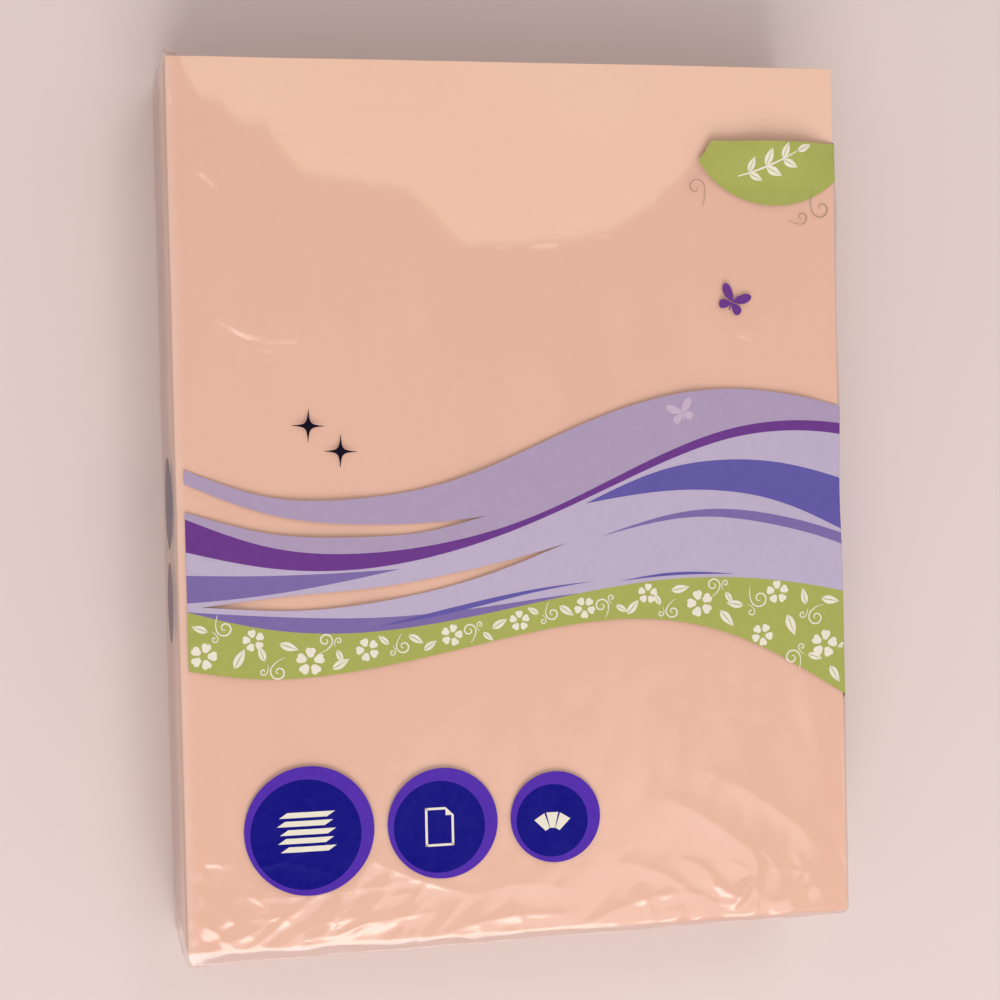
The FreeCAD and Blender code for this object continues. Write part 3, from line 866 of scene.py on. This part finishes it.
def curve(points):
    # A smooth line through the points, as a natural cubic spline
    x, y = np.array(points, float).T
    step = np.diff(x)
    size = len(x)
    matrix, known = np.zeros((size, size)), np.zeros(size)
    matrix[0, 0] = matrix[-1, -1] = 1
    for i in range(1, size - 1):
        matrix[i, i - 1:i + 2] = step[i - 1], 2 * (step[i - 1] + step[i]), step[i]
        known[i] = 6 * ((y[i + 1] - y[i]) / step[i] - (y[i] - y[i - 1]) / step[i - 1])
    bend = np.linalg.solve(matrix, known)

    def at(place):
        i = np.clip(np.searchsorted(x, place) - 1, 0, size - 2)
        a, b, h = x[i + 1] - place, place - x[i], step[i]
        cubic = (bend[i] * a ** 3 + bend[i + 1] * b ** 3) / (6 * h)
        return cubic + (y[i] / h - bend[i] * h / 6) * a + (y[i + 1] / h - bend[i + 1] * h / 6) * b

    return at


edges = {name: curve(points) for name, points in bands.items()}


def below(name):
    return lambda u, v: edges[name](u * 100 / halfWidth) - v * 100 / halfLength


def above(name):
    return lambda u, v: v * 100 / halfLength - edges[name](u * 100 / halfWidth)


def slotFloor(name):
    # Below the slot's lower edge, and below its upper one where the slot has closed
    def field(u, v):
        place = u * 100 / halfWidth
        top = edges[name + "Top"](place)
        return np.minimum(top - edges[name + "Depth"](place), top) - v * 100 / halfLength

    return field


def rightOf(share):
    return lambda u, v: u * 100 / halfWidth - share


def leftOf(share):
    return lambda u, v: share - u * 100 / halfWidth


def insideDisc(x, y, radius):
    return lambda u, v: radius - np.hypot(u / mm - x, v / mm - y)


def outsideDisc(x, y, radius):
    return lambda u, v: np.hypot(u / mm - x, v / mm - y) - radius


def gridTriangles():
    # The tube's faces as triangles, apart from the back
    rows = surface.shape[1]
    found = []
    for i in range(len(columns) - 1):
        if part[i] == "back" or part[i + 1] == "back":
            continue
        a = i * rows + np.arange(rows - 1)
        found.append(np.stack([a, a + rows + 1, a + rows], -1))
        found.append(np.stack([a, a + 1, a + rows + 1], -1))
    return np.concatenate(found)


triangles = gridTriangles()
gridPlaces = surface.reshape(-1, 3)
gridNormals = surfaceNormals.reshape(-1, 3)
gridFlat = flatPlace.reshape(-1, 2)


def clip(polygon, column):
    # The share of a polygon where one of its columns is above 0
    kept = []
    for a, b in zip(polygon, polygon[1:] + polygon[:1]):
        if a[column] >= 0:
            kept.append(a)
        if (a[column] >= 0) != (b[column] >= 0):
            kept.append(a + (b - a) * (a[column] / (a[column] - b[column])))
    return kept


def onFilm(u, v, layer):
    # The place on the film of a spot of the flat print
    i = len(columnFlat) - 1 - np.searchsorted(columnFlat[::-1], u)
    i = int(np.clip(i, 0, len(columnFlat) - 2))
    share = (columnFlat[i] - u) / (columnFlat[i] - columnFlat[i + 1])
    place, normal = np.zeros(3), np.zeros(3)
    for column, weight in ((i, 1 - share), (i + 1, share)):
        t = np.clip((v - nearY[column]) / (farY[column] - nearY[column]), 0, 0.9999)
        j = int(np.searchsorted(rowShare, t, side="right")) - 1
        between = (t - rowShare[j]) / (rowShare[j + 1] - rowShare[j])
        for row, rowWeight in ((j, 1 - between), (j + 1, between)):
            place += surface[column, row] * weight * rowWeight
            normal += surfaceNormals[column, row] * weight * rowWeight
    return place + normal * layer * art["layer"], normal


def signedArea(outline):
    return sum(x0 * y1 - x1 * y0 for (x0, y0), (x1, y1) in zip(outline, outline[1:] + outline[:1])) / 2


def anticlockwise(outline):
    return outline[::-1] if signedArea(outline) < 0 else outline


def leftOfSide(x0, y0, x1, y1):
    return lambda u, v: (x1 - x0) * (v / mm - y0) - (y1 - y0) * (u / mm - x0)


def insideOutline(outline):
    # Fields of a convex outline in millimetres, one for each side
    outline = anticlockwise(outline)
    return [leftOfSide(*a, *b) for a, b in zip(outline, outline[1:] + outline[:1])]


def rounded(outline, rounds=2):
    # Cuts the corners of a closed outline
    for _ in range(rounds):
        outline = [(a[0] * (1 - t) + b[0] * t, a[1] * (1 - t) + b[1] * t)
                   for a, b in zip(outline, outline[1:] + outline[:1]) for t in (0.25, 0.75)]
    return outline


def layPrint(name, layer, shapes, outlines):
    # Shapes are lists of fields, all above 0 inside; outlines are small flat faces in millimetres
    net = Net()
    for fields in shapes:
        values = np.stack([field(gridFlat[:, 0], gridFlat[:, 1]) for field in fields], -1)
        table = np.concatenate([gridPlaces, gridNormals, values], 1)
        over = values[triangles] > 0
        touched = triangles[over.any(axis=1).all(axis=1)]
        for triangle in touched:
            polygon = [table[i] for i in triangle]
            if not (values[triangle] > 0).all():
                for column in range(6, table.shape[1]):
                    polygon = clip(polygon, column) if polygon else polygon
            if len(polygon) > 2:
                net.face([net.corner(row[:3] + row[3:6] * layer * art["layer"], tuple(row[3:6]))
                          for row in polygon])
    for outline in outlines:
        corners = []
        for x, y in anticlockwise(outline):
            place, normal = onFilm(x * mm, y * mm, layer + art["flatLift"])
            corners.append(net.corner(place, tuple(normal)))
        net.face(corners)
    return net.build(name)


def turned(points, degrees, x, y, size=1.0):
    c, s = math.cos(math.radians(degrees)) * size, math.sin(math.radians(degrees)) * size
    return [(x + a * c - b * s, y + a * s + b * c) for a, b in points]


def between(one, other):
    # Faces between two lines of as many points
    return [[one[i], one[i + 1], other[i + 1], other[i]] for i in range(len(one) - 1)]


def stroke(points, width, ends=0.25):
    # Faces along a line that is thinner at its ends
    path = np.array(points)
    run = np.gradient(path, axis=0)
    run /= np.linalg.norm(run, axis=1, keepdims=True)
    share = np.linspace(0, 1, len(path))
    half = width / 2 * (ends + (1 - ends) * np.sin(math.pi * share) ** 0.7)
    side = np.stack([-run[:, 1], run[:, 0]], -1) * half[:, None]
    return between(path + side, path - side)


def curlPath(size, turns, tail):
    # A stem that ends in a curl
    angle = np.linspace(0, turns * 2 * math.pi, 40)
    radius = size * (1 - 0.86 * angle / angle[-1])
    curl = np.stack([radius * np.cos(angle + math.pi), radius * np.sin(angle + math.pi)], -1)
    stem = np.linspace(1, 0, 14)[:-1]
    start = curl[0] + np.stack([stem ** 2 * tail * 0.45, stem * tail], -1)
    return np.concatenate([start, curl]).tolist()


def leafFaces(length, width, slit=0.16):
    # Two halves of a leaf with a gap along its rib
    t = np.linspace(0, 1, 9)
    swell = width / 2 * np.clip(np.sin(math.pi * t ** 0.8), 0, 1)
    rib = slit * (1 - 0.7 * t) * np.clip(np.sin(math.pi * t), 0, 1) ** 0.5
    x = (t - 0.5) * length
    faces = []
    for sign in (1, -1):
        outer = list(zip(x, sign * swell))
        inner = list(zip(x, sign * np.minimum(rib, swell)))
        faces += between(inner, outer)
    return faces


def blossomFaces(size):
    # Five broad petals round an open middle, each with a notch in its tip
    angles = np.linspace(-27, 27, 9)
    outer = [0.80, 0.93, 0.99, 0.99, 0.93, 0.99, 0.99, 0.93, 0.80]
    inner = [0.36, 0.33, 0.30, 0.29, 0.28, 0.29, 0.30, 0.33, 0.36]
    faces = []
    for petal in range(5):
        near, far = [[turned([(size * r, 0)], petal * 72 + a, 0, 0)[0] for a, r in zip(angles, radii)]
                     for radii in (inner, outer)]
        faces += [[near[i], far[i], far[i + 1], near[i + 1]] for i in range(len(angles) - 1)]
    return faces


def vineFaces(size):
    # A stem with a large curl at one end, a small one at the other and a leaf between
    large = [(x + size * 0.55, y) for x, y in curlPath(size * 0.42, 1.3, size * 0.75)]
    small = [(-x * 0.9 - size * 0.12, y - size * 0.32) for x, y in curlPath(size * 0.2, 1.1, size * 0.4)]
    leaf = [turned(face, 140, -size * 0.62, size * 0.42)
            for face in leafFaces(size * 0.85, size * 0.36, size * 0.03)]
    return stroke(large, 0.5) + stroke(small, 0.4) + leaf


def starFaces(reach, waist):
    faces = []
    for quarter in range(4):
        t = np.linspace(0, 1, 10)
        arm = [(reach * (1 - a) ** 1.9 + waist * a * (1 - a) + waist * 0.7 * a,
                waist * 0.7 * a ** 1.6 + 0.1 * (1 - a)) for a in t]
        arm[0] = (reach, 0.0)
        mirror = [(x, -y) for x, y in arm[::-1]]
        faces.append(turned([(0, 0)] + mirror[:-1] + arm, quarter * 90, 0, 0))
    return faces


def butterflyWings():
    upper = [(0.1, 0.1), (0.5, 1.9), (1.9, 3.9), (3.4, 5.0), (4.9, 5.2), (5.6, 4.4), (5.3, 2.9),
             (4.1, 1.3), (2.2, 0.45)]
    lower = [(0.1, -0.1), (1.9, 0.05), (3.5, -0.2), (4.4, -1.3), (4.1, -2.8), (3.0, -3.6), (1.8, -3.1),
             (0.5, -1.8)]
    return [rounded([(sign * x, y) for x, y in wing]) for wing in (upper, lower) for sign in (1, -1)]


def butterflyBody():
    faces = [[(-0.24, -2.6), (0.0, -3.1), (0.24, -2.6), (0.3, 0.6), (0.0, 1.3), (-0.3, 0.6)]]
    feeler = [(0.1, 1.1), (0.5, 2.2), (1.3, 3.1)]
    for sign in (1, -1):
        faces += stroke(bentLine([(sign * x, y) for x, y in feeler], 8), 0.18, 0.6)
    return faces


motifs = [  # along the green band in millimetres, share of its height, kind, size and turn
    (-101, 0.3, "blossom", 4.2, 0), (-97.5, 0.76, "vine", 6.2, 20), (-90, 0.36, "leaf", 7, 60),
    (-85.5, 0.74, "blossom", 3.5, 30), (-81, 0.25, "vine", 6.4, -30), (-74.5, 0.68, "leaf", 6.5, -20),
    (-68, 0.36, "blossom", 4.5, 15), (-60.5, 0.72, "vine", 5.6, 150), (-58.5, 0.24, "leaf", 6.2, 30),
    (-50, 0.53, "blossom", 3.7, 40), (-41.5, 0.5, "vine", 5.4, 0), (-34.5, 0.62, "leaf", 5.6, -30),
    (-30, 0.34, "leaf", 5.2, 35), (-23, 0.52, "blossom", 3.5, 5), (-14.5, 0.5, "vine", 5.2, 180),
    (-7.5, 0.55, "leaf", 5.8, 30), (-1, 0.5, "blossom", 3.3, 20), (7, 0.5, "vine", 5.2, 10),
    (14.5, 0.5, "leaf", 5.8, -35), (20.5, 0.5, "blossom", 3.5, 50), (29, 0.5, "vine", 5.6, 190),
    (36.5, 0.34, "leaf", 6, 50), (41.5, 0.68, "blossom", 3.3, 12), (47, 0.28, "vine", 5.4, -20),
    (52.5, 0.76, "leaf", 6.3, 10), (59, 0.46, "blossom", 4.4, 33), (66.5, 0.8, "vine", 5.6, 160),
    (68, 0.26, "leaf", 7, -50), (76, 0.58, "vine", 7, 30), (80, 0.18, "blossom", 3.7, 60),
    (85.5, 0.84, "blossom", 3.8, 22), (90, 0.46, "leaf", 7.5, -70), (93.5, 0.17, "vine", 6.4, 200),
    (96, 0.7, "vine", 6.6, -40), (101.5, 0.4, "blossom", 4.6, 8), (104, 0.88, "leaf", 6.6, -10),
    (105, 0.14, "leaf", 6.5, -60), (114, 0.62, "vine", 7.4, 60), (117, 0.28, "blossom", 4.4, 18),
    (121, 0.86, "blossom", 3.9, 40), (127, 0.5, "leaf", 7.5, 20), (130, 0.14, "vine", 7.4, 10),
    (134, 0.78, "vine", 7.4, 240), (139, 0.38, "blossom", 4.8, 0), (147.5, 0.62, "leaf", 7.5, 80),
    (148, 0.18, "leaf", 7, -30), (152, 0.9, "blossom", 4, 10), (154, 0.44, "vine", 6.6, 30),
]


def motifFaces():
    # Blossoms, leaves and curling stems, laid out along the green band
    drawn = {
        "blossom": blossomFaces,
        "vine": vineFaces,
        "leaf": lambda size: leafFaces(size, size * 0.42, 0.2),
    }
    faces = []
    for along, height, kind, size, turn in motifs:
        share = along * mm * 100 / halfWidth
        top, low = [edges[name](share) * halfLength / mm / 100 for name in ("greenTop", "greenLow")]
        faces += [turned(face, turn, along, low + (top - low) * height) for face in drawn[kind](size)]
    return faces


def sprigFaces():
    # A stem with pairs of leaves, in the middle of the corner badge
    faces = stroke(bentLine([(-10, -3.4), (0, -0.9), (10, 3.2)], 14), 0.6, 0.5)
    leaves = [(-6.4, -2.6, 5.2, (66, -30)), (-0.6, -1.0, 6.2, (66, -30)), (5.2, 1.0, 5.6, (66, -30)),
              (10, 3.2, 5.4, (20,))]
    for x, y, size, turns in leaves:
        for turn in turns:
            reach = size / 2 + 0.3
            middle = (x + reach * math.cos(math.radians(turn)), y + reach * math.sin(math.radians(turn)))
            faces += [turned(face, turn, *middle) for face in leafFaces(size, size * 0.44, 0.18)]
    return faces


def box(left, low, right, high):
    return [(left, low), (right, low), (right, high), (left, high)]


def badgePictures():
    # A pile of sheets, one sheet with a folded corner, and three sheets fanned
    faces = []
    shift = art["discShift"]
    (x1, y1), (x2, y2), (x3, y3) = [(x - shift, y - shift) for x, y, _ in art["badges"]]
    for step, slide in enumerate((0.5, -0.3, 0.4, -0.5, 0.2)):
        x, y = x1 + slide, y1 - 5.4 + step * 2.7
        faces.append([(x - 8.6, y), (x + 6.4, y), (x + 9.0, y + 1.7), (x - 6.0, y + 1.7)])
    wide, tall, fold, line = 4.6, 6.2, 2.6, 0.75
    left, right, low, high = x2 - wide, x2 + wide, y2 - tall, y2 + tall
    faces += [box(left, low, left + line, high), box(left, low, right, low + line),
              box(right - line, low, right, high - fold), box(left, high - line, right - fold, high),
              [(right - fold, high - fold), (right, high - fold), (right - fold, high)]]
    for turn in (-32, 0, 32):
        faces.append(turned([(-0.8, 3.0), (0.8, 3.0), (1.95, 8.0), (-1.95, 8.0)], turn, x3, y3 - 5.4))
    return faces


def inkMaterial(name, color):
    # Printed ink under the film's gloss: even colour, slightly mottled where the ink lies thinner
    g = Graph(bpy.data.materials.new(name))
    place = g.add("ShaderNodeTexCoord", output=3)
    mottle = g.noise(place, inks["mottle"], 2.0, 0.6)
    grain = inks["grain"]
    thin = tuple(min(c * (1 + grain) + grain * 0.2, 1) for c in color[:3]) + (1.0,)
    thick = tuple(c * (1 - grain) for c in color[:3]) + (1.0,)
    return g.finish(g.add("ShaderNodeBsdfPrincipled", {}, {
        "Base Color": g.colorMix(mottle, thick, thin), "Roughness": inks["rough"],
        "Specular IOR Level": inks["shine"],
    }))


def finishPrint(thing, ink, slot, node):
    thing.data.materials.append(inkMaterial(ink + "Ink", inks[ink]))
    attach(thing, "root")
    if node:
        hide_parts(node)


def butterfly(place):
    # The wings as cut shapes and the body as flat faces
    wings = [insideOutline(turned(wing, *place)) for wing in butterflyWings()]
    return wings, [turned(face, *place) for face in butterflyBody()]


def buildPrint():
    start = rightOf(art["leftEdge"])
    shift, rim = art["discShift"], art["badgeRim"]
    badges = [((x, y, radius), (x - shift, y - shift, radius - rim)) for x, y, radius in art["badges"]]
    rims = [[insideDisc(*badge), outsideDisc(*disc)] for badge, disc in badges]
    discs = [[insideDisc(*disc)] for _, disc in badges]
    stars = [turned(face, -2, x, y) for x, y in art["stars"] for face in starFaces(*art["starSize"])]
    sprig = [turned(face, *art["sprig"]) for face in sprigFaces()]
    curls = [turned(face, turn, x, y) for turn, x, y, size in art["curls"]
             for face in stroke(curlPath(size, 1.0, size * 2.2), 0.3, 0.4)]
    # Name, layer, ink, slot and node that the print stands for, then its shapes and its flat faces
    prints = [
        ("lavender_wave", 1, "lavender", "lavender_ink", "print_lavender_wave",
         [[start, below("waveTop"), above("slotHighTop"), above("ribbonTop")],
          [start, slotFloor("slotHigh"), above("ribbonTop"), below("waveTop")]], []),
        ("pale_wave", 1, "pale", "pale_lavender_ink", "print_pale_wave",
         [[start, below("ribbonLow"), above("slotLowTop"), above("greenTop")],
          [start, below("ribbonLow"), slotFloor("slotLow"), above("greenTop")]], []),
        ("violet_ribbon", 1, "violet", "violet_ink", "print_violet_ribbon",
         [[start, below("ribbonTop"), above("ribbonLow")]], []),
        ("blue_bands", 2, "blue", "blue_ink", "print_blue_bands",
         [[rightOf(20), below("blueTop"), above("blueLow")],
          [rightOf(-44), leftOf(22), below("sliverTop"), above("sliverLow")],
          [rightOf(30), leftOf(66), below("tipTop"), above("tipLow")]], []),
        ("soft_blue_bands", 1.6, "midBlue", "blue_ink", None,
         [[start, leftOf(-36), below("wedgeTop"), above("wedgeLow"), above("slotLowTop")],
          [start, leftOf(30), below("footTop"), above("greenTop"), slotFloor("slotLow")],
          [rightOf(24), below("crescentTop"), above("crescentLow")]], []),
        ("green_band", 1, "green", "green_ink", "print_green_band",
         [[start, below("greenTop"), above("greenLow")]], []),
        ("corner_badge", 1, "green", "green_ink", "print_corner_badge",
         [[insideDisc(*art["cornerBadge"]), rightOf(0)]], []),
        ("badge_rims", 1, "rim", "purple_ink", "print_badge_rims", rims, []),
        ("badge_discs", 1, "navy", "navy_ink", "print_badge_discs", discs, []),
        ("wall_discs", 1, "dusk", "navy_ink", None,
         [[insideDisc(*disc)] for disc in art["wallDiscs"]], []),
        ("stars", 1, "black", "navy_ink", "print_stars", [], stars),
        ("butterfly", 1, "violet", "violet_ink", "print_butterfly", *butterfly(art["butterfly"])),
        ("pale_butterfly", 2.4, "mist", "pale_lavender_ink", None, *butterfly(art["paleButterfly"])),
        ("band_motifs", 2.4, "white", "pale_lavender_ink", None, [], motifFaces()),
        ("badge_sprig", 2.4, "white", "pale_lavender_ink", None, [], sprig),
        ("badge_curls", 1, "curl", "green_ink", None, [], curls),
        ("badge_pictures", 2.4, "white", "pale_lavender_ink", None,
         [insideOutline(outline) for outline in badgePictures()], []),
    ]
    for name, layer, ink, slot, node, shapes, faces in prints:
        finishPrint(layPrint(name, layer, shapes, faces), ink, slot, node)


buildPrint()
print("print laid on the film")

# Table, light and camera
studio = {
    "floor": srgb(228, 211, 207),
    "floorShade": srgb(225, 208, 204),
    "floorSize": 14.0,
    "fadeFrom": 0.6,            # from the ream, where the table starts to melt into the backdrop
    "fadeOver": 1.8,
    "world": (1.0, 0.98, 0.96, 1.0),
    "worldStrength": 0.55,
    "backdrop": srgb(214, 196, 193),
    "lamps": [  # place, size and power
        ("key", (-0.12, -1.35, 1.3), 1.2, 19.4),
        ("panel", (0.45, -0.95, 1.95), 1.0, 3.4),
        ("fill", (0.5, 0.9, 1.8), 0.6, 3.4),
    ],
    "lampAim": (0, 0, 0.03),
}
cameraSet = {
    "place": (-111.41 * mm, 7.25 * mm, 666.63 * mm),
    "aim": (13.29 * mm, -5.48 * mm, 50.25 * mm),
    "roll": 1.303,              # degrees, anticlockwise as the picture shows the ream
    "pixels": 1000,             # the picture's width and height
    "focalPixels": 1950.0,
    "middle": (560.0, 515.0),   # the pixel that the lens points at
    "sensor": 36.0,
}


def makeFloor():
    size = studio["floorSize"] / 2
    corners = [(x, y, 0) for x, y in box(-size, -size, size, size)]
    floor = meshObject("table_top", corners, [(0, 1, 2, 3)])
    floor.location.z = -0.02 * mm
    g = Graph(bpy.data.materials.new("paleTable"))
    place = g.add("ShaderNodeTexCoord", output=3)
    tone = g.noise(place, 9.0, 3.0)
    near = g.colorMix(tone, studio["floorShade"], studio["floor"])
    # Far away the table melts into the backdrop, without lighting the ream
    distance = g.add("ShaderNodeVectorMath", {"operation": "LENGTH"}, {0: place}, output=1)
    far = g.clamp((distance - studio["fadeFrom"]) * (1 / studio["fadeOver"])) * g.seenDirectly()
    shader = g.add("ShaderNodeBsdfPrincipled", {}, {
        "Base Color": g.colorMix(far, near, (0, 0, 0, 1)), "Roughness": 0.6, "Specular IOR Level": 0.0,
        "Emission Color": g.colorMix(far, (0, 0, 0, 1), studio["backdrop"]), "Emission Strength": 1.0,
    })
    floor.data.materials.append(g.finish(shader))


def makeLamp(name, place, size, power):
    lamp = bpy.data.lights.new(name, "AREA")
    lamp.size = size
    lamp.energy = power
    thing = bpy.data.objects.new(name, lamp)
    bpy.context.scene.collection.objects.link(thing)
    thing.location = place
    beam = Vector(studio["lampAim"]) - Vector(place)
    thing.rotation_euler = beam.to_track_quat("-Z", "Y").to_euler()


def makeWorld():
    # Even light from all round; the camera and the film's gloss see a pale backdrop
    world = bpy.data.worlds.new("studio")
    bpy.context.scene.world = world
    g = Graph(world)
    light = g.add("ShaderNodeBackground", {},
                  {"Color": studio["world"], "Strength": studio["worldStrength"]})
    shown = g.add("ShaderNodeBackground", {}, {"Color": studio["backdrop"]})
    shader = g.add("ShaderNodeMixShader", {}, {0: g.seenDirectly(), 1: light, 2: shown})
    g.finish(shader, "ShaderNodeOutputWorld")


def makeCamera():
    camera = bpy.data.cameras.new("camera")
    camera.sensor_width = cameraSet["sensor"]
    pixels, (across, down) = cameraSet["pixels"], cameraSet["middle"]
    camera.lens = cameraSet["focalPixels"] / pixels * cameraSet["sensor"]
    camera.shift_x = 0.5 - across / pixels
    camera.shift_y = down / pixels - 0.5
    thing = bpy.data.objects.new("camera", camera)
    bpy.context.scene.collection.objects.link(thing)
    place, aim = Vector(cameraSet["place"]), Vector(cameraSet["aim"])
    back = (place - aim).normalized()
    roll = math.radians(cameraSet["roll"])
    north = (Vector((0, 1, 0)) - back * back.y).normalized()
    east = north.cross(back)
    up = north * math.cos(roll) + east * math.sin(roll)
    right = up.cross(back)
    thing.matrix_world = Matrix.Translation(place) @ Matrix((right, up, back)).transposed().to_4x4()
    bpy.context.scene.camera = thing


makeFloor()
for lamp in studio["lamps"]:
    makeLamp(*lamp)
makeWorld()
makeCamera()
bpy.context.scene.view_settings.view_transform = "Standard"
print("studio ready")

bpy.context.view_layer.update()
